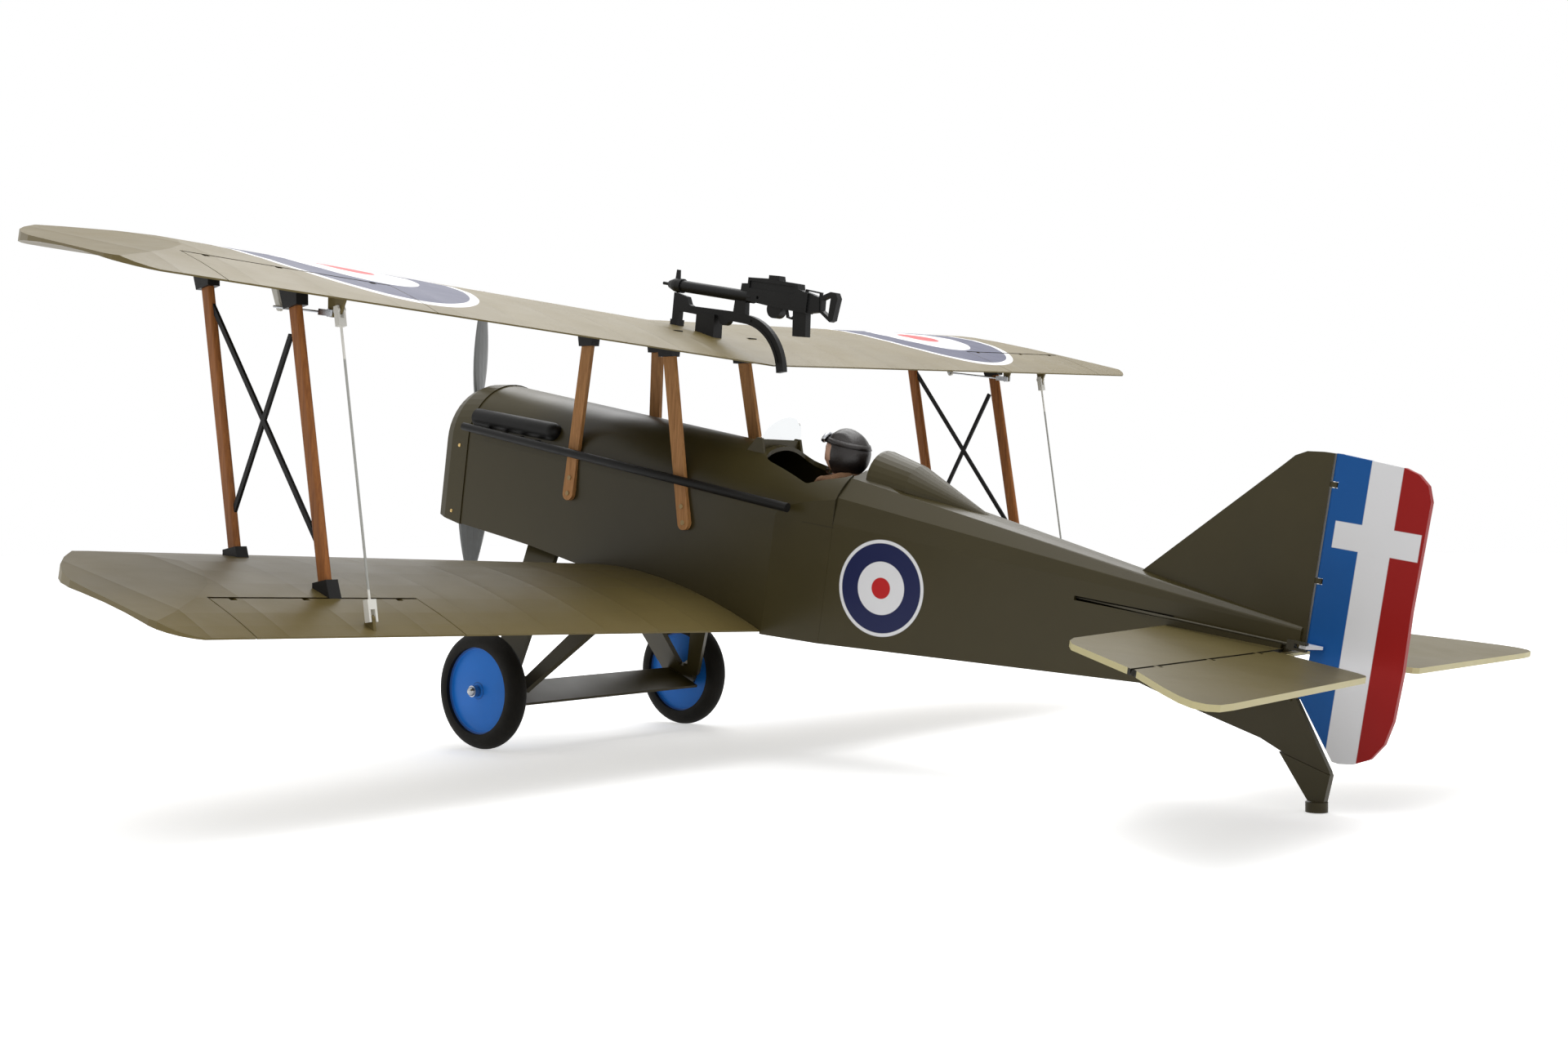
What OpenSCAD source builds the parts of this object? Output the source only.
/* [Wings] */
// Span of the upper wing from tip to tip
span = 876; // [840:1:910]
// Chord of both wings
chord = 164.5; // [160:0.5:170]
// Upward tilt of each wing half, in degrees
dihedral = 2.33; // [1.5:0.05:3]
// Angle between the chord and the thrust line, in degrees
incidence = 2.33; // [1.5:0.05:3]
// Trailing edge of the upper wing behind the nose
upper_te_x = -253; // [-256:1:-250]
// Height of the upper trailing edge above the datum
upper_te_z = 111.6; // [110:0.2:114]
// Trailing edge of the lower wing behind the nose
lower_te_x = -299; // [-301:1:-297]
// Height of the lower trailing edge above the datum
lower_te_z = -44.4; // [-46:0.2:-43]
// How much shorter each lower half is than an upper half
lower_inset = 8; // [4:1:14]
// Chord of the ailerons behind their hinge line
aileron_chord = 40.5; // [38:0.5:42]
// Inner end of each aileron
aileron_in = 265; // [258:1:270]
// Outer end of each aileron
aileron_out = 387; // [380:1:390]

/* [Fuselage] */
// Half the width of the straight part of the body
body_half = 37.5; // [37:0.1:38]
// Thickness of the body's skin
skin = 2.4; // [2:0.1:3]

/* [Undercarriage] */
// Outer radius of the tyres
wheel_r = 37.2; // [36:0.1:38]
// Width of a tyre
tyre_w = 14; // [12:0.5:15]
// Middle plane of a wheel from the centre line
wheel_y = 93; // [92.5:0.5:95]
// Axle diameter
axle_d = 3; // [2.5:0.1:3]

/* [Propeller] */
// Tip radius of the propeller
prop_r = 104; // [98:1:106]
// Advance per turn that sets the blade twist
prop_pitch = 152; // [120:2:180]
// Clocking of the blades from upright, in degrees
prop_clock = 4; // [0:1:10]

/* [Control travel] */
// Length of the elevator and rudder horns
tail_horn = 14; // [13:0.5:15]

/* [Hidden] */
$fn = 48;

olive = "#4a4a30";
wing_olive = "#77724f";
wood = "#9b6a35";
ply = "#b98a4a";
black = "#1c1c1c";
white = "#e8e6e0";
steel = "#b9bcc0";
blue = "#2f6fc4";

// The model stands on its wheels and tail skid: the ground line is tangent
// to the wheel and passes through the foot of the skid.
axle_x = -126;
axle_z = -113.6;
foot_x = -637.3;
foot_z = -66.8;
reach = sqrt(pow(axle_x - foot_x, 2) + pow(axle_z - foot_z, 2));
stance_pitch = asin(wheel_r / reach) - atan2(axle_z - foot_z, axle_x - foot_x);
stance_lift = wheel_r - axle_x * sin(stance_pitch) - axle_z * cos(stance_pitch);
// The origin is under the middle of the model's length.
thrust_z = 30;
prop_x = 11;
rudder_te = -669;
rudder_te_top = 96;
front_reach = prop_x * cos(stance_pitch)
    + (prop_r * cos(prop_clock) - thrust_z) * sin(stance_pitch);
rear_reach = rudder_te * cos(stance_pitch) - rudder_te_top * sin(stance_pitch);
balance_x = -(front_reach + rear_reach) / 2 - 0.4;

// Wing section, measured forward from the trailing edge.
camber_max = 0.045 * chord;
section_t = 0.075 * chord;
section_steps = 12;
tip_rib = 350;
tip_drop = 0.137;
semi_upper = span / 2;
semi_lower = semi_upper - lower_inset;
// Ailerons turn in a round cove.
cove_gap = 0.7;
side_gap = 0.6;
hinge_pin_d = 1;
pin_play = 0.1;
lug_w = 3;
lug_r = 1.6;
aileron_lugs = [aileron_in + 12, (aileron_in + aileron_out) / 2 + 8, aileron_out - 12];
// Levers of the aileron linkage, from the hinge axis to each hole.
horn_arm = [-10, -14.5];
link_arm_upper = [-32, -11.5];
link_arm_lower = [-32, 1];
rod_y = 306;
link_y = 318;
servo_shaft = [89, 2.5];
// Struts.
strut_y = 315;
strut_tops = [[-125.6, 123], [-203.6, 120]];
strut_feet = [[-171.9, -14], [-249.9, -17]];
cabane_tops = [[-123.5, 32, 113], [-197.6, 35, 114]];
cabane_feet = [[-128, 39.1, 12.9], [-230.7, 39.1, 10.7]];
cabane_w = 9;
cabane_t = 2.8;
// Fuselage: front deck is a round arch whose centre line slopes down aft.
nose_back = -24;
cockpit_back = -340;
tail_end = -616;
arch_front = [nose_back, 34.6];
arch_tilt = 1.785;
taper_start = -300;
tail_half = 3.2;
rear_half = tail_half + (cockpit_back - tail_end) / (taper_start - tail_end)
    * (body_half - tail_half);
// Tail.
tail_z = 8;
plate_t = 3;
elevator_hinge_x = -609;
rudder_hinge_x = -620.5;
fin_t = 3.6;
elevator_rod_y = 9;
rudder_rod_z = 14;
rudder_rod_y = 13;
servo_shaft_h = 4.1;
servo_x = -275;
rudder_servo_x = -236;
rod_d = 1.3;

// ---------- frames ----------

module standing() {
    translate([balance_x, 0, stance_lift])
        rotate([0, -stance_pitch, 0])
            children();
}

// Frame of one wing half: x forward from the trailing edge, y along the span.
module half_frame(te_x, te_z, side) {
    mirror([0, side < 0 ? 1 : 0, 0])
        translate([te_x, 0, te_z])
            rotate([dihedral, 0, 0])
                rotate([0, -incidence, 0])
                    children();
}

module spanwise(y0, y1) {
    translate([0, y1, 0])
        rotate([90, 0, 0])
            linear_extrude(height = y1 - y0)
                children();
}

// A cylinder along y at a place in the x-z plane.
module y_rod(x, z, y0, y1, r) {
    spanwise(y0, y1)
        translate([x, z])
            circle(r = r);
}

// A stick from a foot to a top, its section given in the x-y plane.
module stick(foot, top) {
    d = top - foot;
    lean = atan2(d.x, d.z);
    spread = atan2(d.y, sqrt(d.x * d.x + d.z * d.z));
    translate(foot)
        rotate([0, lean, 0])
            rotate([-spread, 0, 0])
                linear_extrude(height = norm(d))
                    children();
}

module capsule(length, width) {
    square([length - width, width], center = true);
    for (s = [-1, 1])
        translate([s * (length - width) / 2, 0])
            circle(d = width);
}

// ---------- wing section ----------

function camber(t) = 4 * camber_max * t * (1 - t);
function half_thick(t) = 5 * section_t * (0.2969 * sqrt(t) - 0.126 * t - 0.3516 * t * t
    + 0.2843 * pow(t, 3) - 0.1015 * pow(t, 4)) + 0.3;
function station(i) = (1 - cos(180 * i / section_steps)) / 2;
function upper_pt(i) = [chord * (1 - station(i)), camber(station(i)) + half_thick(station(i))];
function lower_pt(i) = [chord * (1 - station(i)), camber(station(i)) - half_thick(station(i))];

section_pts = concat(
    [for (i = [section_steps:-1:0]) upper_pt(i)],
    [for (i = [0:section_steps]) lower_pt(i)]);

hinge_t = 1 - aileron_chord / chord;
axis_x = aileron_chord;
axis_z = camber(hinge_t);
nose_r = half_thick(hinge_t) - 0.1;

module section() {
    polygon(section_pts);
}

// Plan of a wing half: straight edges, round front corner, raked tip.
module wing_plan(semi) {
    lead_r = 84.5;
    trail_r = 22;
    lead_y = semi - 13.5 - lead_r + 10;
    polygon(concat(
        [[-1, -2], [-1, semi - 1 - trail_r]],
        [for (a = [180:-15:90]) [trail_r - 1 + trail_r * cos(a), semi - 0.6 - trail_r + trail_r * sin(a)]],
        [for (a = [90:-10:0]) [chord - lead_r + 1 + lead_r * cos(a), lead_y + lead_r * sin(a)]],
        [[chord + 1, -2]]));
}

module wing_half_solid(semi) {
    rib_z = camber_max + section_t / 2 + 1.5;
    intersection() {
        spanwise(0, semi + 2)
            section();
        translate([0, 0, -20])
            linear_extrude(height = 60)
                wing_plan(semi);
        // The covering falls from the last rib to the thin tip bow.
        rotate([0, -90, 0])
            translate([0, 0, -chord - 5])
                linear_extrude(height = chord + 10)
                    polygon([[-20, -5], [rib_z + 5, -5], [rib_z + 5, tip_rib - 36],
                        [rib_z - (semi + 2 - tip_rib) * tip_drop, semi + 2], [-20, semi + 2]]);
    }
}

module aileron_space() {
    spanwise(aileron_in - side_gap, aileron_out + side_gap) {
        translate([-5, -20])
            square([5 + axis_x, 50]);
        translate([axis_x, axis_z])
            circle(r = nose_r + cove_gap);
    }
}

module wing_lugs() {
    for (y = aileron_lugs)
        difference() {
            spanwise(y - lug_w / 2, y + lug_w / 2) {
                translate([axis_x, axis_z])
                    circle(r = lug_r);
                translate([axis_x, axis_z - lug_r])
                    square([nose_r + cove_gap + 1.5, 2 * lug_r]);
            }
            y_rod(axis_x, axis_z, y - lug_w, y + lug_w, hinge_pin_d / 2);
        }
}

module wing_half(semi) {
    difference() {
        wing_half_solid(semi);
        aileron_space();
    }
    wing_lugs();
}

module aileron_solid(semi) {
    difference() {
        union() {
            intersection() {
                wing_half_solid(semi);
                translate([-5, aileron_in, -20])
                    cube([5 + axis_x, aileron_out - aileron_in, 50]);
            }
            y_rod(axis_x, axis_z, aileron_in, aileron_out, nose_r);
        }
        for (y = aileron_lugs) {
            translate([axis_x - lug_r - 0.5, y - lug_w / 2 - 0.4, -20])
                cube([20, lug_w + 0.8, 50]);
            y_rod(axis_x, axis_z, y - 6, y + 6, (hinge_pin_d + pin_play) / 2);
        }
    }
}

// Small control horn: a plate below or above a surface with one pin hole.
module aileron_horn(y, arm, thick, root_z) {
    hole = [axis_x + arm.x, axis_z + arm.y];
    difference() {
        spanwise(y - thick / 2, y + thick / 2) {
            translate(hole)
                circle(r = 2);
            polygon([[hole.x - 2, hole.y], [hole.x + 2, hole.y],
                [hole.x + 5, root_z + 0.4], [hole.x - 4, root_z]]);
        }
        y_rod(hole.x, hole.y, y - 5, y + 5, 0.8);
    }
}

module aileron_upper(side) {
    color(wing_olive)
        standing()
            half_frame(upper_te_x, upper_te_z, side) {
                aileron_solid(semi_upper);
                aileron_horn(rod_y, horn_arm, 1.6, 3.4);
                aileron_horn(link_y, link_arm_upper, 1.6, 1.5);
            }
}

module aileron_lower(side) {
    color(wing_olive)
        standing()
            half_frame(lower_te_x, lower_te_z, side) {
                aileron_solid(semi_lower);
                aileron_horn(link_y, link_arm_lower, 1.6, 1.6);
            }
}

// ---------- wings ----------

module upper_wing() {
    color(wing_olive)
        standing()
            difference() {
                union()
                    for (s = [1, -1])
                        half_frame(upper_te_x, upper_te_z, s)
                            wing_half(semi_upper);
                for (s = [1, -1])
                    half_frame(upper_te_x, upper_te_z, s)
                        wing_servo_space();
            }
}

module lower_wing() {
    color(wing_olive)
        standing()
            for (s = [1, -1])
                half_frame(lower_te_x, lower_te_z, s)
                    wing_half(semi_lower);
}

module wings_solid() {
    for (s = [1, -1]) {
        half_frame(upper_te_x, upper_te_z, s)
            wing_half_solid(semi_upper);
        half_frame(lower_te_x, lower_te_z, s)
            wing_half_solid(semi_lower);
    }
}

// ---------- aileron servos and linkage, in the frame of an upper half ----------

servo_l = 23;
servo_w = 9;
servo_y = rod_y - 17;

module wing_servo_body() {
    translate([servo_shaft.x - servo_l + 6, servo_y - 6, 2.2])
        cube([servo_l, 17, servo_w]);
}

module wing_servo_space() {
    translate([servo_shaft.x - servo_l + 5.8, servo_y - 6.2, -3])
        cube([servo_l + 0.4, 26.5, servo_w + 5.4]);
}

module servo_arm(side) {
    color(white)
        standing()
            half_frame(upper_te_x, upper_te_z, side)
                difference() {
                    union() {
                        spanwise(rod_y - 4.4, rod_y - 2.8)
                            polygon([[servo_shaft.x - 2.6, servo_shaft.y + 0.4],
                                [servo_shaft.x + horn_arm.x - 1.8, servo_shaft.y + horn_arm.y - 0.8],
                                [servo_shaft.x + horn_arm.x + 1.8, servo_shaft.y + horn_arm.y - 0.8],
                                [servo_shaft.x + 2.6, servo_shaft.y - 0.4]]);
                        y_rod(servo_shaft.x, servo_shaft.y, rod_y - 5.8, rod_y - 2.8, 2.8);
                        y_rod(servo_shaft.x + horn_arm.x, servo_shaft.y + horn_arm.y,
                            rod_y - 4.4, rod_y - 2.8, 2);
                    }
                    y_rod(servo_shaft.x, servo_shaft.y, rod_y - 6, rod_y - 4, 1.55);
                    y_rod(servo_shaft.x + horn_arm.x, servo_shaft.y + horn_arm.y,
                        rod_y - 6, rod_y, 0.65);
                }
}

module aileron_pushrod(side) {
    a = [servo_shaft.x + horn_arm.x, servo_shaft.y + horn_arm.y];
    b = [axis_x + horn_arm.x, axis_z + horn_arm.y];
    color(steel)
        standing()
            half_frame(upper_te_x, upper_te_z, side) {
                // Bent end in the arm, straight wire and a forked clevis.
                y_rod(a.x, a.y, rod_y - 5.4, rod_y, 0.6);
                stick([b.x + 6, rod_y, b.y + 6 * (a.y - b.y) / (a.x - b.x)], [a.x, rod_y, a.y])
                    circle(d = rod_d, $fn = 16);
                translate([0, rod_y, 0])
                    clevis(b, a - b, 0.45);
            }
}

// Fork that straddles a horn at b and points along d; its pin is slim.
module clevis(b, d, pin_r) {
    turn = atan2(d.y, d.x);
    translate([b.x, 0, b.y])
        rotate([0, -turn, 0])
            difference() {
                union() {
                    translate([-2, -2.3, -1.6])
                        cube([10, 4.6, 3.2]);
                    y_rod(0, 0, -2.3, 2.3, 2);
                }
                translate([-4, -1.1, -4])
                    cube([8, 2.2, 8]);
            }
    y_rod(b.x, b.y, -2, 2, pin_r);
}

// The link between the ailerons is drawn from its upper hole down.
upper_hole = half_point(upper_te_x, upper_te_z,
    [axis_x + link_arm_upper.x, link_y, axis_z + link_arm_upper.y]);
lower_hole = half_point(lower_te_x, lower_te_z,
    [axis_x + link_arm_lower.x, link_y, axis_z + link_arm_lower.y]);

module aileron_link(side) {
    d = lower_hole - upper_hole;
    lean = atan2(-d.x, -d.z);
    length = norm(d);
    color(white)
        standing()
            mirror([0, side < 0 ? 1 : 0, 0]) {
                stick(lower_hole - d * 8 / length, upper_hole + d * 5 / length)
                    circle(d = rod_d, $fn = 16);
                translate([0, upper_hole.y, 0])
                    clevis([upper_hole.x, upper_hole.z], [d.x, d.z], 0.5);
                // The lower fork has room around the horn and no pin.
                translate([lower_hole.x, lower_hole.y, lower_hole.z])
                    rotate([0, lean, 0])
                        difference() {
                            translate([-1.8, -2.6, -1.5])
                                cube([3.6, 5.2, 11]);
                            translate([-4, -1.3, -4])
                                cube([8, 2.6, 8.6]);
                        }
            }
}

// ---------- fuselage ----------

function deck_z(x) = arch_front.y + (x - arch_front.x) * tan(arch_tilt);

module arch(r, x0, x1) {
    // Round-topped section swept along the sloping deck line.
    translate([nose_back, 0, arch_front.y])
        rotate([0, -arch_tilt, 0])
            rotate([90, 0, -90])
                translate([0, 0, nose_back - x1])
                    linear_extrude(height = x1 - x0) {
                        circle(r = r);
                        translate([-r, -110])
                            square([2 * r, 110]);
                    }
}

module side_profile(inset) {
    rotate([90, 0, 0])
        translate([0, 0, -60])
            linear_extrude(height = 120)
                polygon([[nose_back - inset, 110], [nose_back - inset, -23.8 + inset],
                    [-96, -27 + inset], [-134, -30.5 + inset], [-300, -44.6 + inset],
                    [cockpit_back, -42.1 + inset], [cockpit_back, 110]]);
}

module plan_profile(inset) {
    translate([0, 0, -80])
        linear_extrude(height = 220)
            polygon([[0, body_half - inset], [taper_start, body_half - inset],
                [cockpit_back - 1, rear_half - inset], [cockpit_back - 1, inset - rear_half],
                [taper_start, inset - body_half], [0, inset - body_half]]);
}

module front_body(inset) {
    intersection() {
        arch(body_half - inset, cockpit_back - 20, 20);
        side_profile(inset);
        plan_profile(inset);
    }
}

// Cross section of the faceted rear body at one end.
module rear_section(x, half, bottom, crease_z, side, ridge, d) {
    up = [for (p = side) [p.x - d, p.y - d]];
    n = len(side);
    translate([x, 0, 0])
        rotate([90, 0, 90])
            linear_extrude(height = 0.01)
                polygon(concat([[d - half, bottom + d], [half - d, bottom + d], [half - d, crease_z - d]],
                    up, [[0, ridge - d]], [for (i = [n - 1:-1:0]) [-up[i].x, up[i].y]],
                    [[d - half, crease_z - d]]));
}

module rear_body(inset) {
    waist_x = cockpit_back - 34;
    hull() {
        rear_section(cockpit_back, rear_half, -42.1, 28.4, [[31.6, 43.4], [21, 55], [11, 60.2]],
            62, inset);
        rear_waist(waist_x, inset);
    }
    hull() {
        rear_waist(waist_x, inset);
        rear_section(tail_end + inset, tail_half, -15.4, 20.4, [[2.8, 21.2], [1.8, 22], [1.4, 22.2]],
            22.5, inset / 2);
    }
}

module rear_waist(x, inset) {
    rear_section(x, 29.5, -38.8, 27.4, [[28.1, 40.7], [18.6, 50.9], [9.5, 52.3]], 52.8, inset);
}

module body_solid() {
    front_body(0);
    rear_body(0);
}

function bend(x, y, r, a0, a1) = [for (a = [a0:(a1 - a0) / 4:a1]) [x + r * cos(a), y + r * sin(a)]];
cockpit_side = concat(bend(-281, 14.5, 9, 0, 80), bend(-314, 21, 9, 84, 100),
    bend(-331, 13, 11, 105, 180));

// Half of the rim runs along port, the other half mirrors it.
module cockpit_hole() {
    n = len(cockpit_side);
    translate([0, 0, 20])
        linear_extrude(height = 80)
            polygon(concat(cockpit_side,
                [for (i = [n - 1:-1:0]) [cockpit_side[i].x, -cockpit_side[i].y]]));
}

module wing_saddle() {
    for (s = [1, -1])
        half_frame(lower_te_x, lower_te_z, s) {
            spanwise(0, 70)
                section();
            spanwise(0, 70)
                polygon(concat([for (i = [0:section_steps]) lower_pt(i)],
                    [[0, -30], [chord, -30]]));
        }
}

module hatch_cut(grow) {
    translate([-80 - grow, -27 - grow, -60])
        cube([46 + 2 * grow, 54 + 2 * grow, 60 - 20]);
}

// Cockpit floor, servo shelf and the bracket of the elevator servo.
module inner_frames() {
    difference() {
        intersection() {
            front_body(skin - 0.4);
            union() {
                translate([-338, -50, 16.6])
                    cube([76, 100, 2.4]);
                translate([-262, -50, rudder_rod_z - 14.8])
                    cube([42, 100, 2.4]);
                translate([-299, elevator_rod_y - 14.8, -3])
                    cube([37, 2.4, 21]);
            }
        }
        translate([rudder_servo_x - 17.2, -6.2, -10])
            cube([23.4, 12.4, 20]);
        translate([servo_x - 17.2, -20, tail_z - 6.2])
            cube([23.4, 30, 12.4]);
    }
}

module fuselage_shell() {
    color(olive)
        standing() {
            inner_frames();
            difference() {
                body_solid();
                difference() {
                    front_body(skin);
                    // The sternmost part of the deck frame stays solid.
                    translate([cockpit_back, -50, -60])
                        cube([2.4, 100, 10]);
                }
                rear_body(skin);
                translate([cockpit_back - 4, -rear_half + skin + 1, -30])
                    cube([10, 2 * (rear_half - skin - 1), 54]);
                cockpit_hole();
                wing_saddle();
                hatch_cut(0);
                // Slots for the tail, the rods and the elevator joiner.
                tailplane_plate();
                fin_plate();
                translate([tail_end - 1, -10, tail_z - 4])
                    cube([10, 20, 8]);
                translate([-550, 8, rudder_rod_z - 1.2])
                    cube([56, 12, 2.4]);
                translate([-576, 5, tail_z - tail_horn - 1.6])
                    cube([46, 10, 4.2]);
                // Opening behind the cowl for the motor.
                translate([nose_back - 10, 0, 0])
                    rotate([90, 0, 90])
                        linear_extrude(height = 12)
                            cowl_shape(-9, -12, 58);
                cabane_screws(0.8, 8);
            }
        }
}

module battery_hatch() {
    color(olive)
        standing()
            intersection() {
                difference() {
                    front_body(0);
                    front_body(skin);
                }
                hatch_cut(-0.3);
            }
}

module nose_cowl() {
    color(olive)
        standing()
            difference() {
                hull() {
                    cowl_slice(nose_back + 0.1, 0.7, -24.4, 72.9);
                    cowl_slice(-8, 0.7, -22.4, 71);
                    cowl_slice(-1.5, -0.8, -21, 68.4);
                    cowl_slice(1, -3, -19.4, 65.6);
                }
                hull() {
                    cowl_slice(nose_back - 1, -2.2, -21.4, 69.8);
                    cowl_slice(-5, -2.2, -19.6, 68);
                }
                hull() {
                    cowl_slice(-6, -6, -15.8, 62);
                    cowl_slice(4, -6, -15.8, 62);
                }
            }
}

// One upright slice of the cowl: flat sides, round top.
module cowl_slice(x, grow, bottom, top) {
    translate([x, 0, 0])
        rotate([90, 0, 90])
            linear_extrude(height = 0.1)
                cowl_shape(grow, bottom, top);
}

module cowl_shape(grow, bottom, top) {
    r = body_half + grow;
    translate([0, top - r])
        circle(r = r);
    translate([-r, bottom])
        square([2 * r, top - r - bottom]);
}

module radiator_grille() {
    color(black)
        standing()
            translate([-9, 0, 0])
                rotate([90, 0, 90])
                    linear_extrude(height = 3)
                        difference() {
                            intersection() {
                                cowl_shape(-2.2, -19.6, 67.9);
                                union() {
                                    for (y = [-36:6:36])
                                        translate([y - 0.8, -40])
                                            square([1.6, 120]);
                                    for (z = [-17, 64])
                                        translate([-40, z - 3])
                                            square([80, 6]);
                                    translate([0, thrust_z])
                                        circle(d = 18);
                                }
                            }
                            translate([0, thrust_z])
                                circle(d = 12);
                        }
}

// ---------- power train and radio ----------

module x_rod(x0, x1, r) {
    translate([x0, 0, thrust_z])
        rotate([0, 90, 0])
            cylinder(r = r, h = x1 - x0);
}

module firewall() {
    color(ply)
        standing()
            difference() {
                intersection() {
                    front_body(skin);
                    union() {
                        translate([-52, -50, -60])
                            cube([3, 100, 150]);
                        // Tray that carries the battery and the receiver.
                        translate([-186, -50, -19.4])
                            cube([136, 100, 2.4]);
                    }
                }
                x_rod(-60, -40, 5);
                for (a = [45:90:359])
                    x_screw(a, 12, -60, -40, 0.8);
                for (x = [-76, -112])
                    translate([x, 0, -30])
                        cylinder(d = 20, h = 20);
            }
}

module x_screw(a, out, x0, x1, r) {
    translate([0, out * cos(a), out * sin(a)])
        x_rod(x0, x1, r);
}

module motor_stator() {
    color(steel)
        standing() {
            // Mounting cross, bearing tube and wound core.
            difference() {
                union() {
                    x_rod(-49, -46.5, 10);
                    for (a = [45, 135])
                        translate([-49, 0, thrust_z])
                            rotate([a, 0, 0])
                                translate([0, -15, -3])
                                    cube([2.5, 30, 6]);
                    x_rod(-47, -20, 4);
                    x_rod(-42, -24, 10.5);
                }
                x_rod(-60, -10, 1.6);
                for (a = [45:90:359])
                    x_screw(a, 12, -60, -40, 0.8);
            }
            for (a = [45:90:359])
                x_screw(a, 12, -52, -46.2, 0.8);
        }
}

module motor_bell() {
    color(steel)
        standing() {
            difference() {
                x_rod(-44.5, -17, 14);
                x_rod(-45, -19.2, 12.6);
                x_rod(-45, -10, 1.5);
                for (a = [0:60:359])
                    x_screw(a, 8.6, -20, -10, 2.2);
            }
            // Motor shaft.
            x_rod(-49.8, 22, 1.5);
        }
}

module battery() {
    color("#2a3f8f")
        standing()
            translate([-128, -17, -17])
                cube([70, 34, 22]);
}

module speed_controller() {
    color("#303030")
        standing()
            translate([-114, -13, 5])
                cube([42, 26, 8]);
}

module receiver() {
    color("#5b5e63")
        standing()
            translate([-178, -12, -17])
                cube([36, 24, 13]);
}

// Micro servo with fixing ears; its shaft points up at the origin.
module servo_body() {
    difference() {
        union() {
            translate([-17, -6, -20])
                cube([23, 12, 20]);
            translate([-21.5, -6, -6])
                cube([32, 12, 1.6]);
            cylinder(d = 11, h = 2);
            cylinder(d = 3, h = servo_shaft_h);
        }
        for (x = [-19.3, 8.3])
            translate([x, 0, -8])
                cylinder(d = 2, h = 5);
    }
}

module servos() {
    color("#202428")
        standing() {
            translate([rudder_servo_x, 0, rudder_rod_z - 6.4])
                servo_body();
            translate([servo_x, elevator_rod_y - 6.4, tail_z])
                rotate([-90, 0, 0])
                    servo_body();
            for (s = [1, -1])
                half_frame(upper_te_x, upper_te_z, s) {
                    wing_servo_body();
                    y_rod(servo_shaft.x, servo_shaft.y, servo_y + 11, rod_y - 4.2, 1.5);
                }
        }
}

// ---------- struts and fittings ----------

module interplane_strut(i, side) {
    color(wood)
        standing()
            mirror([0, side < 0 ? 1 : 0, 0])
                interplane_stick(i);
}

module interplane_stick(i) {
    stick([strut_feet[i].x, strut_y, strut_feet[i].y], [strut_tops[i].x, strut_y, strut_tops[i].y])
        capsule(8.4, 4);
}

module cabane_frame(i) {
    d = cabane_tops[i] - cabane_feet[i];
    lean = atan2(d.x, d.z);
    spread = atan2(d.y, sqrt(d.x * d.x + d.z * d.z));
    translate(cabane_feet[i])
        rotate([0, lean, 0])
            rotate([-spread, 0, 0])
                rotate([90, 0, 0])
                    children();
}

module cabane_stick(i) {
    cabane_frame(i)
        linear_extrude(height = cabane_t, center = true)
            difference() {
                union() {
                    translate([-cabane_w / 2, 0])
                        square([cabane_w, norm(cabane_tops[i] - cabane_feet[i])]);
                    circle(d = cabane_w);
                }
                for (z = [0, 10])
                    translate([0, z])
                        circle(r = 0.85);
            }
}

// Shanks of the screws that hold the feet of the port cabane struts.
module cabane_screws(r, depth) {
    for (s = [0, 1])
        mirror([0, s, 0])
            for (i = [0, 1])
                cabane_frame(i)
                    for (z = [0, 10])
                        translate([0, z, -cabane_t / 2 - 0.1])
                            cylinder(r = r, h = depth);
}

module cabane_pair(i) {
    color(ply)
        standing()
            difference() {
                for (s = [0, 1])
                    mirror([0, s, 0])
                        cabane_stick(i);
                body_solid();
            }
}

// Each bracket is a tapered block that the strut's end sits in.
module bracket(x, z, lean, up) {
    translate([x, 0, z])
        rotate([0, lean, 0])
            spanwise(-3.6, 3.6)
                polygon([[-5.6, 0], [5.6, 0], [8, up * 16], [-8, up * 16]]);
}

module strut_fittings() {
    lean = atan2(strut_tops[0].x - strut_feet[0].x, strut_tops[0].y - strut_feet[0].y);
    color(black)
        standing() {
            for (s = [0, 1])
                mirror([0, s, 0]) {
                    difference() {
                        translate([0, strut_y, 0])
                            for (i = [0, 1]) {
                                bracket(strut_tops[i].x - 1, strut_tops[i].y - 3, lean, 1);
                                bracket(strut_feet[i].x + 1, strut_feet[i].y + 3, lean, -1);
                            }
                        for (i = [0, 1])
                            interplane_stick(i);
                        wings_solid();
                    }
                    difference() {
                        for (i = [0, 1])
                            translate([0, cabane_tops[i].y, 0])
                                bracket(cabane_tops[i].x - 0.5, cabane_tops[i].z - 5, 8, 1);
                        for (i = [0, 1])
                            cabane_stick(i);
                        wings_solid();
                    }
                    // Countersunk screws in the feet of the cabane struts.
                    for (i = [0, 1])
                        cabane_frame(i)
                            for (z = [0, 10])
                                translate([0, z, -cabane_t / 2 - 0.6]) {
                                    cylinder(r = 1.5, h = 0.6);
                                    cylinder(r = 0.8, h = 7);
                                }
                }
        }
}

// Crossed flat bars between the struts, moulded as one piece.
module cross_brace(side) {
    y = strut_y;
    color(black)
        standing()
            mirror([0, side < 0 ? 1 : 0, 0])
                difference() {
                    spanwise(y - 0.8, y + 0.8) {
                        bar([-128, 116], [-243, 1]);
                        bar([-203, 103], [-168, 8]);
                    }
                    for (i = [0, 1])
                        interplane_stick(i);
                    translate([0, strut_y, 0])
                        bracket(strut_tops[0].x - 1, strut_tops[0].y - 3, 19, 1);
                }
}

module bar(a, b) {
    d = b - a;
    translate(a)
        rotate(atan2(d.y, d.x))
            translate([0, -1.4])
                square([norm(d), 2.8]);
}

// ---------- undercarriage ----------

leg_tilt = atan2(48, 76);
leg_len = sqrt(48 * 48 + 76 * 76);

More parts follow.
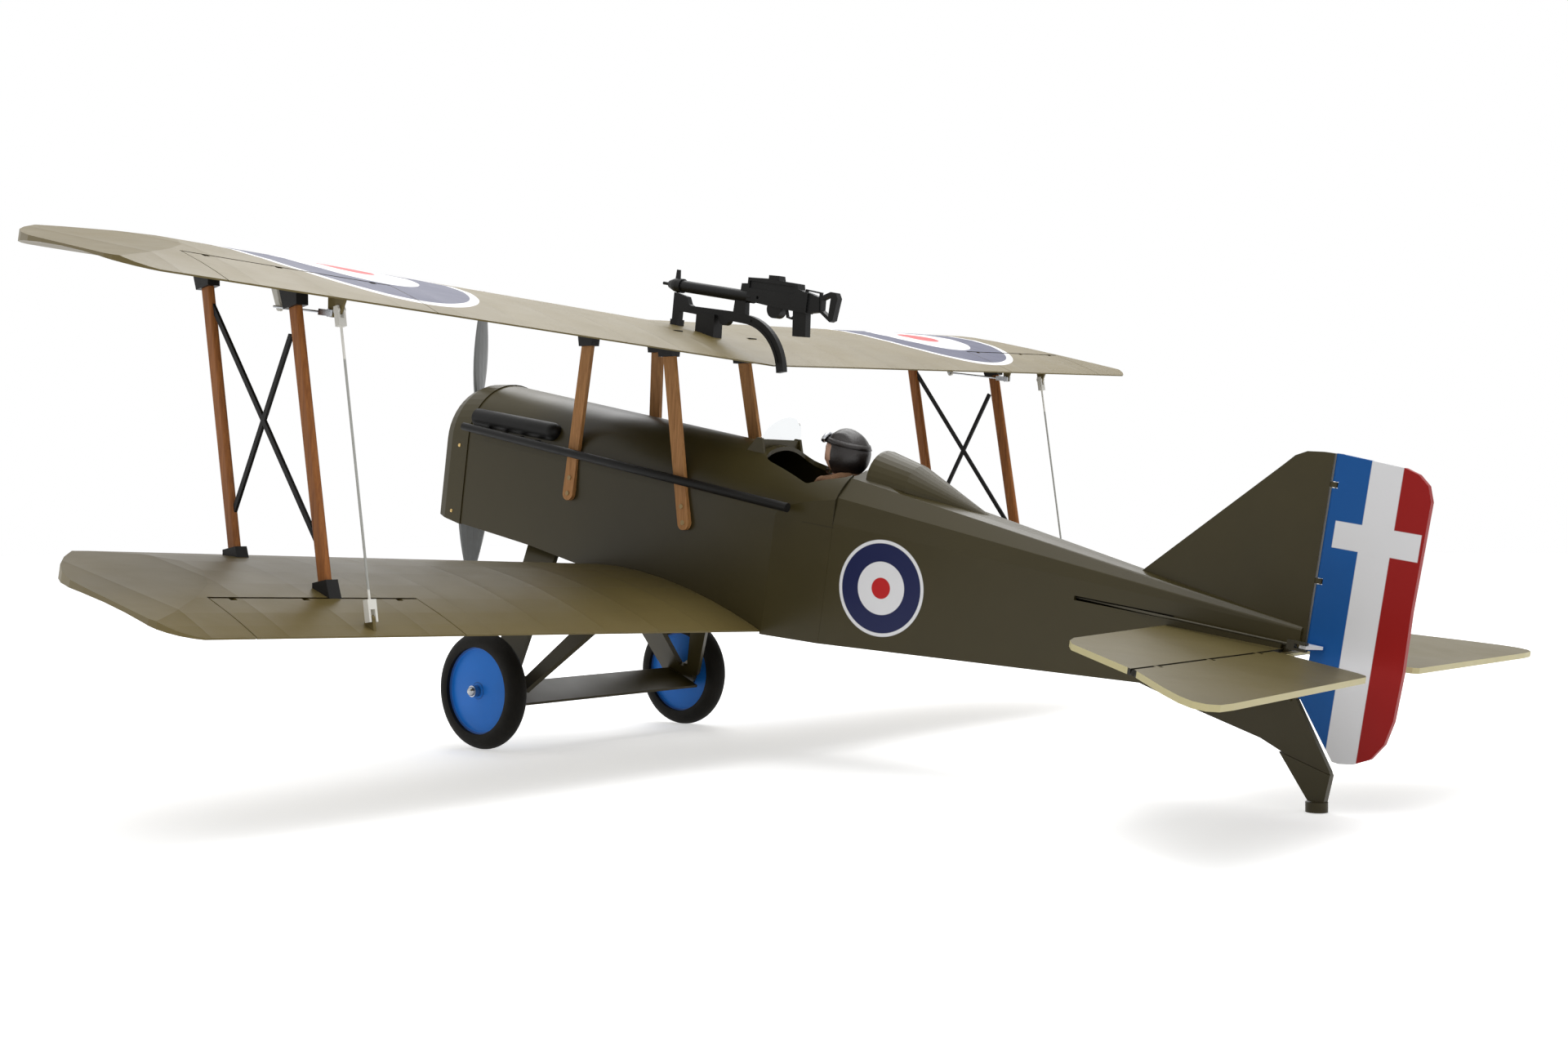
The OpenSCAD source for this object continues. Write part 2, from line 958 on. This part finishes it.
module undercarriage(side) {
    color(olive)
        standing()
            mirror([0, side < 0 ? 1 : 0, 0])
                difference() {
                    translate([0, 34, -37])
                        rotate([leg_tilt, 0, 0])
                            rotate([90, 0, 0])
                                linear_extrude(height = 3.4, center = true)
                                    undercarriage_outline();
                    y_rod(axle_x, axle_z, 60, 110, axle_d / 2);
                    body_solid();
                    half_frame(lower_te_x, lower_te_z, 1)
                        wing_half_solid(semi_lower);
                }
}

module undercarriage_outline() {
    foot = -leg_len;
    difference() {
        union() {
            polygon([[-84, 14], [-112, 14], [-138, foot + 8], [-116, foot + 8]]);
            polygon([[-190, 14], [-206, 14], [-152, foot + 4], [-138, foot + 4]]);
            polygon([[-116, foot + 10], [-148, foot + 10], [-147, foot - 1], [-143, foot - 7],
                [-120, foot - 7]]);
            translate([axle_x, foot])
                circle(r = 7.6);
        }
        polygon([[-112, 20], [-190, 20], [-146, foot + 13], [-137, foot + 13]]);
    }
}

module axle_fairing() {
    color(olive)
        standing()
            difference() {
                spanwise(-80, 80)
                    polygon(concat(
                        [for (a = [-85:17:85]) [axle_x + 3.6 * cos(a), axle_z + 3.6 * sin(a)]],
                        [[axle_x - 26, axle_z - 3.4], [axle_x - 26, axle_z - 5]]));
                y_rod(axle_x, axle_z, -100, 100, axle_d / 2);
                for (s = [0, 1])
                    mirror([0, s, 0])
                        translate([0, 34, -37])
                            rotate([leg_tilt, 0, 0])
                                translate([-200, -1.7, -leg_len - 30])
                                    cube([140, 40, 80]);
            }
}

module axle() {
    color(steel)
        standing() {
            y_rod(axle_x, axle_z, -wheel_y - tyre_w / 2 - 2.6, wheel_y + tyre_w / 2 + 2.6, axle_d / 2);
            for (s = [0, 1])
                mirror([0, s, 0]) {
                    // Inner stop and outer collar with its domed end.
                    y_rod(axle_x, axle_z, wheel_y - 7.4, wheel_y - 5.6, 3);
                    y_rod(axle_x, axle_z, wheel_y + 5.4, wheel_y + 9.4, 3.6);
                    translate([axle_x, wheel_y + 9.2, axle_z])
                        intersection() {
                            sphere(r = 3);
                            translate([-5, 0, -5])
                                cube(10);
                        }
                }
        }
}

module tyre(side) {
    seat = 27.5;
    color(black)
        standing()
            translate([axle_x, side * wheel_y, axle_z])
                rotate([90, 0, 0])
                    rotate_extrude($fn = 96)
                        difference() {
                            translate([wheel_r - tyre_w / 2, 0])
                                hull() {
                                    circle(d = tyre_w, $fn = 32);
                                    translate([seat - wheel_r + tyre_w / 2 + 4, 0])
                                        square([8, 8], center = true);
                                }
                            translate([0, -10])
                                square([seat, 20]);
                        }
}

module wheel_disc(side) {
    color(blue)
        standing()
            translate([axle_x, side * wheel_y, axle_z])
                rotate([90, 0, 0])
                    difference() {
                        rotate_extrude($fn = 96)
                            polygon([[0, 5], [4, 5], [5, 4.2], [26, 3], [27.5, 4], [27.5, -4],
                                [26, -3], [5, -4.2], [4, -5], [0, -5]]);
                        cylinder(d = axle_d + 0.12, h = 40, center = true);
                    }
}

// ---------- tail ----------

module tail_plan_fixed() {
    polygon([[-545.6, 0], [-552.6, 112], [-556, 121], [-562, 129], [elevator_hinge_x + 1.2, 155.2],
        [elevator_hinge_x + 1.2, 0]]);
}

module tailplane_plate() {
    for (s = [0, 1])
        mirror([0, s, 0])
            translate([0, 0, tail_z - plate_t / 2])
                linear_extrude(height = plate_t)
                    tail_plan_fixed();
}

elevator_lugs = [34, 84, 134];
rudder_lugs = [-4, 46, 94];
tail_lug_r = 1.4;
tail_pin_d = 0.8;

module tailplane() {
    color(wing_olive)
        standing() {
            tailplane_plate();
            for (s = [-1, 1])
                for (y = elevator_lugs)
                    difference() {
                        spanwise(s * y - 1.25, s * y + 1.25) {
                            translate([elevator_hinge_x - 1, tail_z])
                                circle(r = tail_lug_r);
                            translate([elevator_hinge_x - 1, tail_z - tail_lug_r])
                                square([3.2, 2 * tail_lug_r]);
                        }
                        y_rod(elevator_hinge_x - 1, tail_z, s * y - 5, s * y + 5, tail_pin_d / 2);
                    }
        }
}

module elevator_plan() {
    polygon([[elevator_hinge_x - 1, 17], [elevator_hinge_x - 1, 155.6], [-637, 179.5],
        [-650, 189.5], [-658, 193.4], [-664, 192.5], [-667.4, 187], [-668, 176],
        [-664, 33], [-662, 29], [-657, 26.4]]);
}

module elevator() {
    ax = elevator_hinge_x - 1;
    color(wing_olive)
        standing()
            difference() {
                union() {
                    for (s = [0, 1])
                        mirror([0, s, 0])
                            translate([0, 0, tail_z - plate_t / 2])
                                linear_extrude(height = plate_t)
                                    elevator_plan();
                    for (s = [-1, 1])
                        spanwise(s > 0 ? 17 : -155.6, s > 0 ? 155.6 : -17)
                            translate([ax, tail_z])
                                circle(r = plate_t / 2);
                    // Joiner between the halves and the horn under the port half.
                    y_rod(ax - 3, tail_z, -19, 19, 1.3);
                    spanwise(elevator_rod_y - 0.8, elevator_rod_y + 0.8)
                        polygon([[ax, tail_z + 0.6], [ax - 7, tail_z + 0.6],
                            [ax - 3.8, tail_z - tail_horn - 1.4], [ax - 0.8, tail_z - tail_horn - 1.4]]);
                }
                for (s = [-1, 1])
                    for (y = elevator_lugs) {
                        translate([ax - tail_lug_r - 0.4, s * y - 1.65, tail_z - 5])
                            cube([10, 3.3, 10]);
                        y_rod(ax, tail_z, s * y - 5, s * y + 5, (tail_pin_d + pin_play) / 2);
                    }
                y_rod(ax - 2, tail_z - tail_horn, 5, 14, 0.7);
            }
}

module fin_outline() {
    polygon([[-505, 14], [-525.4, 35.6], [-593, 100.5], [-598, 105.5], [-604, 108.4],
        [-612, 109.2], [rudder_hinge_x + 2.4, 109.2], [rudder_hinge_x + 2.4, -13.5],
        [-641, -45], [-642, -47], [-618, -42.4], [-602.9, -37.4], [-560, -30.5], [-530.6, -24.8],
        [-530, 14]]);
}

module fin_plate() {
    // Plate of the fin, with its hollowed part inside the body left out.
    spanwise(-fin_t / 2, fin_t / 2)
        fin_outline();
}

module tail_fin() {
    color(olive)
        standing()
            difference() {
                union() {
                    fin_plate();
                    for (z = rudder_lugs)
                        rudder_lug(z);
                }
                tailplane_plate();
                // Opening in the stern post for the elevator joiner.
                translate([rudder_hinge_x - 2, -5, tail_z - 4])
                    cube([12, 10, 8]);
                for (z = rudder_lugs)
                    translate([rudder_hinge_x, 0, z - 6])
                        cylinder(d = tail_pin_d, h = 12);
            }
}

module rudder_lug(z) {
    translate([rudder_hinge_x, 0, z - 1.25])
        linear_extrude(height = 2.5) {
            circle(r = tail_lug_r);
            translate([0, -tail_lug_r])
                square([3.6, 2 * tail_lug_r]);
        }
}

module rudder_outline() {
    x = rudder_hinge_x;
    polygon([[x, -13.5], [x, 109.4], [-654, 107.2], [-661, 105], [-666.4, 100.4], [rudder_te, 93],
        [-668.2, 40], [rudder_te, 10], [-668.2, -14], [-665.6, -26], [-660, -34.6], [-652, -39],
        [-645, -40.4], [-641.5, -40.2]]);
}

module rudder() {
    x = rudder_hinge_x;
    color(white)
        standing()
            difference() {
                union() {
                    spanwise(-fin_t / 2, fin_t / 2)
                        rudder_outline();
                    translate([x, 0, -13.5])
                        cylinder(r = fin_t / 2, h = 109.4 + 13.5);
                    // Control horn on the port face.
                    translate([0, 0, rudder_rod_z - 0.8])
                        linear_extrude(height = 1.6)
                            polygon([[x - 9, 0.5], [x + 1, 0.5], [x - 0.4, tail_horn],
                                [x - 4, tail_horn]]);
                }
                for (z = rudder_lugs) {
                    translate([x - tail_lug_r - 0.4, -5, z - 1.65])
                        cube([10, 10, 3.3]);
                    translate([x, 0, z - 5])
                        cylinder(d = tail_pin_d + pin_play, h = 10);
                }
                translate([x - 2, rudder_rod_y, 0])
                    cylinder(r = 0.7, h = 30);
                // Room for the joiner as it swings.
                translate([x - 1.2, -5, tail_z - 4])
                    cube([10, 10, 7]);
            }
}

module tail_skid() {
    color(olive)
        standing()
            difference() {
                union() {
                    spanwise(-2.4, 2.4)
                        polygon([[-614, -41.7], [-642, -47], [-641, -62], [-632.6, -62]]);
                    translate([foot_x, 0, foot_z])
                        rotate([0, stance_pitch, 0])
                            cylinder(d = 11, h = 5);
                }
                fin_plate();
            }
}

module hinge_pins() {
    color(steel)
        standing() {
            for (s = [-1, 1])
                for (w = [[upper_te_x, upper_te_z], [lower_te_x, lower_te_z]])
                    half_frame(w.x, w.y, s)
                        for (y = aileron_lugs)
                            y_rod(axis_x, axis_z, y - 4.5, y + 4.5, hinge_pin_d / 2);
            for (s = [-1, 1])
                for (y = elevator_lugs)
                    y_rod(elevator_hinge_x - 1, tail_z, s * y - 4, s * y + 4, tail_pin_d / 2);
            for (z = rudder_lugs)
                translate([rudder_hinge_x, 0, z - 4])
                    cylinder(d = tail_pin_d, h = 8);
        }
}

// ---------- tail linkage ----------

elevator_hole = [elevator_hinge_x - 3, tail_z - tail_horn];
rudder_hole_x = rudder_hinge_x - 2;

module elevator_servo_arm() {
    y = elevator_rod_y - 2.9;
    color(white)
        standing()
            difference() {
                union() {
                    spanwise(y, y + 1.5)
                        polygon([[servo_x - 3, tail_z], [servo_x + 3, tail_z],
                            [servo_x - 0.2, tail_z - tail_horn], [servo_x - 3.8, tail_z - tail_horn]]);
                    y_rod(servo_x, tail_z, y - 1.1, y + 1.5, 3.2);
                    y_rod(servo_x - 2, tail_z - tail_horn, y, y + 1.5, 1.9);
                }
                y_rod(servo_x, tail_z, y - 1.5, y + 1.1, 1.55);
                y_rod(servo_x - 2, tail_z - tail_horn, y - 2, y + 2, 0.65);
            }
}

module elevator_pushrod() {
    z = tail_z - tail_horn;
    y = elevator_rod_y;
    color(steel)
        standing() {
            y_rod(servo_x - 2, z, y - 4, y + 0.4, 0.6);
            stick([elevator_hole.x + 6, y, z], [servo_x - 2, y, z])
                circle(d = rod_d, $fn = 16);
            translate([0, y, 0])
                clevis([elevator_hole.x, z], [100, 0], 0.4);
        }
}

module rudder_servo_arm() {
    x = rudder_servo_x;
    z = rudder_rod_z - 2.9;
    color(white)
        standing()
            translate([0, 0, z])
                difference() {
                    union() {
                        linear_extrude(height = 1.5)
                            polygon([[x - 3, 0], [x + 3, 0], [x - 0.2, rudder_rod_y],
                                [x - 3.8, rudder_rod_y]]);
                        translate([x, 0, -1.1])
                            cylinder(r = 3.2, h = 2.6);
                        translate([x - 2, rudder_rod_y, 0])
                            cylinder(r = 1.9, h = 1.5);
                    }
                    translate([x, 0, -1.5])
                        cylinder(r = 1.55, h = 2.6);
                    translate([x - 2, rudder_rod_y, -1])
                        cylinder(r = 0.65, h = 4);
                }
}

module rudder_pushrod() {
    color(steel)
        standing() {
            translate([rudder_servo_x - 2, rudder_rod_y, rudder_rod_z - 4])
                cylinder(r = 0.6, h = 4.4);
            translate([0, 0, rudder_rod_z])
                stick([rudder_hole_x + 6, rudder_rod_y, 0], [rudder_servo_x - 2, rudder_rod_y, 0])
                    circle(d = rod_d, $fn = 16);
            translate([0, rudder_rod_y, rudder_rod_z])
                rotate([90, 0, 0])
                    clevis([rudder_hole_x, 0], [100, 0], 0.4);
        }
}

// ---------- cockpit ----------

module headrest() {
    color(olive)
        standing()
            difference() {
                hull() {
                    translate([-350, 0, 54.5])
                        rotate([0, 90, 0])
                            cylinder(r = 18, h = 2, $fn = 32);
                    translate([-374, 0, 52.4])
                        rotate([0, 90, 0])
                            cylinder(r = 15, h = 2, $fn = 32);
                    translate([-424, 0, 44.4])
                        sphere(r = 2, $fn = 12);
                }
                body_solid();
            }
}

module cockpit_coaming() {
    color(black)
        standing()
            difference() {
                union() {
                    // Bar across the deck and a triangular bracket at each end.
                    translate([-266.5, -18.6, 60])
                        cube([3, 37.2, 7.6]);
                    for (s = [-1, 1])
                        spanwise(s * 18 - 0.9, s * 18 + 0.9)
                            polygon([[-253.4, 56], [-272, 54], [-267, 68.4], [-263, 68.4]]);
                }
                body_solid();
            }
}

module windscreen() {
    color("#cfd8dc", 0.4)
        standing()
            difference() {
                translate([-264.6, 0, 65])
                    rotate([0, -20, 0])
                        translate([-0.4, 0, 0])
                            rotate([90, 0, 90])
                                linear_extrude(height = 0.8)
                                    circle(r = 18.6);
                translate([-300, -40, 30])
                    cube([80, 80, 37.6]);
                for (s = [-1, 1])
                    translate([-290, s * 18 - 1.1, 60])
                        cube([40, 2.2, 9]);
            }
}

module pilot() {
    color("#6b4a33")
        standing() {
            // Shoulders with a collar, then the head in its close helmet.
            translate([-318, 0, 19])
                rotate_extrude()
                    polygon([[0, 0], [16, 0], [18, 15], [16, 22], [10, 28], [8, 31], [0, 31]]);
            translate([-317, 0, 48])
                cylinder(r = 6.5, h = 8);
            translate([-316, 0, 64])
                sphere(r = 12.6);
            difference() {
                translate([-319.4, 0, 66.6])
                    sphere(r = 14.3);
                translate([-308, -20, 50])
                    cube([20, 40, 23]);
                translate([-336, -20, 40])
                    cube([40, 40, 15]);
            }
        }
}

// ---------- gun ----------

// Rail on the wing: straight, then a quarter curve down behind it.
module gun_rail() {
    color(black)
        standing()
            difference() {
                union() {
                    spanwise(-2, 2) {
                        polygon([[-165.8, 122], [-165, 148.9], [-176.4, 147], [-178.8, 142.6],
                            [-181, 141.6], [-216.8, 141.4], [-217.2, 149], [-226, 148.4],
                            [-227, 140.4], [-227, 134.8], [-171.2, 137.4], [-171.6, 122]]);
                        difference() {
                            rail_ring(38.4);
                            rail_ring(32.8);
                            translate([-226, 60])
                                square([60, 100]);
                            polygon([[-272, 111.5], [-225, 98.8], [-225, 60], [-280, 60]]);
                        }
                        translate([-210, 136.6])
                            circle(r = 4.5);
                    }
                    spanwise(-4, 4)
                        polygon([[-188, 138], [-188.8, 120], [-205, 118], [-203.4, 138]]);
                    spanwise(-3.4, 3.4)
                        polygon([[-165.8, 122], [-165.6, 132], [-171.6, 132], [-171.6, 122]]);
                }
                wings_solid();
                gun_frame()
                    gun_jacket();
                // Groove along both faces of the curve, and the bolt holes.
                for (y = [-2.1, 1.5])
                    spanwise(y, y + 0.6)
                        difference() {
                            rail_ring(36.5);
                            rail_ring(34.7);
                            translate([-232, 60])
                                square([60, 100]);
                            translate([-272, 60])
                                square([60, 54]);
                        }
            }
}

module rail_ring(r) {
    translate([-225.2, 102])
        circle(r = r, $fn = 96);
}

// Along the barrel: x is forward from the breech end of the jacket.
module gun_frame() {
    translate([-230, 0, 151.4])
        rotate([0, -1.87, 0])
            children();
}

module barrel_rod(x0, x1, r) {
    translate([x0, 0, 0])
        rotate([0, 90, 0])
            cylinder(r = r, h = x1 - x0);
}

module gun_jacket() {
    barrel_rod(-1, 63, 3.7);
    barrel_rod(59.6, 66, 4.6);
}

module machine_gun() {
    color(black)
        standing() {
            gun_frame() {
                difference() {
                    rotate([0, 90, 0])
                        rotate_extrude()
                            polygon([[0, -1], [3.7, -1], [3.7, 59.6], [4.6, 59.6], [4.6, 64], [4.2, 66.4],
                                [2.5, 71], [1, 71.6], [1, 77], [0, 77]]);
                    barrel_rod(70, 80, 0.6);
                }
                // Front sight.
                spanwise(-0.8, 0.8)
                    polygon([[63.2, 3.4], [66.6, 3.4], [66.4, 9.8], [64.2, 9.8]]);
                // Cocking knob on top of the breech.
                spanwise(-1.6, 1.6)
                    polygon([[-1, 3], [9.6, 3], [9.4, 7.6], [3.4, 8.2], [3, 5.4], [-1, 5.4]]);
            }
            // Receiver, rear sight block, magazine drum, grip and spade handle.
            difference() {
                spanwise(-3.6, 3.6)
                    polygon([[-227.6, 149.2], [-227.4, 163.3], [-243.5, 163.8], [-252.3, 163.2],
                        [-267.1, 162.6], [-268, 159.4], [-276, 157.6], [-276, 145.4], [-256, 146.6],
                        [-244.2, 147.5], [-234.5, 148.4]]);
                for (s = [-1, 1])
                    spanwise(s * 4 - 1.2, s * 4 + 1.2)
                        polygon([[-229, 157], [-229, 161.4], [-265, 160.8], [-265, 156]]);
                y_rod(-236.7, 151.6, -5, 5, 1);
            }
            spanwise(-3, 3)
                polygon([[-243.4, 163], [-243.4, 166], [-251.4, 166.1], [-252.4, 163]]);
            y_rod(-250.4, 146, -3, 3, 5.7);
            spanwise(-2.6, 2.6)
                polygon([[-275, 145.6], [-275, 158], [-284.4, 155.8], [-285.6, 147.3]]);
            spanwise(-2.4, 2.4)
                polygon([[-265, 146.5], [-267, 131], [-277.2, 131.5], [-275.4, 146.5]]);
            spanwise(-1, 1) {
                difference() {
                    polygon([[-257.6, 147.4], [-259.4, 141.6], [-263.4, 140.8], [-266.6, 143], [-266, 147]]);
                    polygon([[-258.8, 146.4], [-260.2, 142.6], [-263, 142], [-265, 143.6], [-265, 146.4]]);
                }
                difference() {
                    polygon([[-271.4, 156], [-272, 160], [-284.4, 159], [-284.2, 154]]);
                    polygon([[-273, 157], [-273, 159], [-283, 158.2], [-283, 156]]);
                }
            }
            spanwise(-2.2, 2.2)
                difference() {
                    polygon([[-284, 156.2], [-292.1, 159.9], [-296.1, 159.7], [-298.1, 156.5],
                        [-296.3, 143.2], [-293.9, 142.1], [-284.8, 147.6]]);
                    polygon([[-286.2, 154.6], [-291.8, 157.4], [-292.8, 156], [-292.5, 145.3],
                        [-286.6, 148.6]]);
                }
        }
}

// ---------- exhaust ----------

module exhaust(side) {
    y = 44;
    color(black)
        standing()
            mirror([0, side < 0 ? 1 : 0, 0])
                difference() {
                    union() {
                        stick([-314, y, 33.4], [-25, y, 42.6])
                            circle(d = 5.4);
                        for (x = [-44, -60, -76, -92])
                            translate([x, 30, 42.4 + (x + 25) * 0.032])
                                rotate([-90, 0, 0])
                                    cylinder(d = 4.8, h = y - 30);
                        // Rounded cover over the cylinder heads.
                        translate([-102, 34.6, 49.6])
                            rotate([0, 90, 0])
                                cylinder(r = 6, h = 74);
                        translate([-102, 34.6, 49.6])
                            sphere(r = 6);
                    }
                    body_solid();
                }
}

// ---------- propeller ----------

blade_steps = 12;
blade_sides = 12;
function blade_r(i) = 8 + (prop_r - 8) * i / blade_steps;
function blade_u(i) = i / blade_steps;
function blade_chord(u) = (12 + 13 * sin(180 * pow(u, 0.75)) - 6 * u) * sqrt(1 - pow(u, 8) * 0.97);
function blade_thick(u) = 5.2 * (1 - u) + 1.2;
function blade_angle(r) = atan2(prop_pitch, 2 * PI * r);
function blade_pt(i, k) =
    let (
        u = blade_u(i),
        r = blade_r(i),
        a = 360 * k / blade_sides,
        c = blade_chord(u) / 2 * cos(a),
        t = blade_thick(u) / 2 * sin(a),
        b = blade_angle(max(r, 22))
    )
    [prop_x + c * sin(b) + t * cos(b), -c * cos(b) + t * sin(b), r];

module blade() {
    n = blade_sides;
    polyhedron(
        points = [for (i = [0:blade_steps]) for (k = [0:n - 1]) blade_pt(i, k)],
        faces = concat(
            [[for (k = [0:n - 1]) k]],
            [for (i = [0:blade_steps - 1]) for (k = [0:n - 1])
                [i * n + k, (i + 1) * n + k, i * n + (k + 1) % n]],
            [for (i = [0:blade_steps - 1]) for (k = [0:n - 1])
                [(i + 1) * n + k, (i + 1) * n + (k + 1) % n, i * n + (k + 1) % n]],
            [[for (k = [n - 1:-1:0]) blade_steps * n + k]]),
        convexity = 6);
}

module propeller() {
    color("#8d9094")
        standing()
            difference() {
                union() {
                    translate([0, 0, thrust_z])
                        rotate([-prop_clock, 0, 0])
                            for (a = [0, 180])
                                rotate([a, 0, 0])
                                    blade();
                    x_rod(prop_x - 5, prop_x + 5, 10);
                }
                x_rod(prop_x - 10, prop_x + 10, 3);
            }
}

module prop_nut() {
    color(steel)
        standing()
            difference() {
                union() {
                    // Collet, drive washer, hexagon nut and domed tip.
                    x_rod(prop_x - 7, prop_x + 9, 3);
                    x_rod(prop_x - 8, prop_x - 5, 6.5);
                    translate([prop_x + 5, 0, thrust_z])
                        rotate([0, 90, 0])
                            cylinder(r = 5.6, h = 5, $fn = 6);
                    x_rod(prop_x + 10, prop_x + 12, 3.6);
                }
                x_rod(-30, prop_x + 11, 1.5);
            }
}

// ---------- joint places ----------

function half_tilt(p) = [p.x * cos(incidence) - p.z * sin(incidence), p.y,
    p.x * sin(incidence) + p.z * cos(incidence)];
function half_raise(p) = [p.x, p.y * cos(dihedral) - p.z * sin(dihedral),
    p.y * sin(dihedral) + p.z * cos(dihedral)];
function half_point(te_x, te_z, p) = half_raise(half_tilt(p)) + [te_x, 0, te_z];
fuselage_shell();
nose_cowl();
radiator_grille();
battery_hatch();
firewall();
motor_stator();
battery();
receiver();
speed_controller();
servos();
upper_wing();
lower_wing();
cabane_pair(0);  // cabane_struts_front
cabane_pair(1);  // cabane_struts_rear
interplane_strut(0, 1);  // strut_port_front
interplane_strut(1, 1);  // strut_port_rear
interplane_strut(0, -1);  // strut_starboard_front
interplane_strut(1, -1);  // strut_starboard_rear
cross_brace(1);  // cross_brace_port
cross_brace(-1);  // cross_brace_starboard
strut_fittings();
undercarriage(1);  // undercarriage_port
undercarriage(-1);  // undercarriage_starboard
axle_fairing();
axle();
tail_fin();
tailplane();
tail_skid();
headrest();
cockpit_coaming();
windscreen();
pilot();
gun_rail();
machine_gun();
exhaust(1);  // exhaust_port
exhaust(-1);  // exhaust_starboard
hinge_pins();
propeller();
prop_nut();
motor_bell();
tyre(1);  // tyre_port
wheel_disc(1);  // wheel_disc_port
tyre(-1);  // tyre_starboard
wheel_disc(-1);  // wheel_disc_starboard
aileron_upper(1);  // aileron_upper_port
aileron_upper(-1);  // aileron_upper_starboard
aileron_lower(1);  // aileron_lower_port
aileron_lower(-1);  // aileron_lower_starboard
aileron_link(1);  // aileron_link_port
aileron_link(-1);  // aileron_link_starboard
servo_arm(1);  // servo_arm_port
servo_arm(-1);  // servo_arm_starboard
aileron_pushrod(1);  // aileron_pushrod_port
aileron_pushrod(-1);  // aileron_pushrod_starboard
elevator();
rudder();
elevator_servo_arm();
elevator_pushrod();
rudder_servo_arm();
rudder_pushrod();
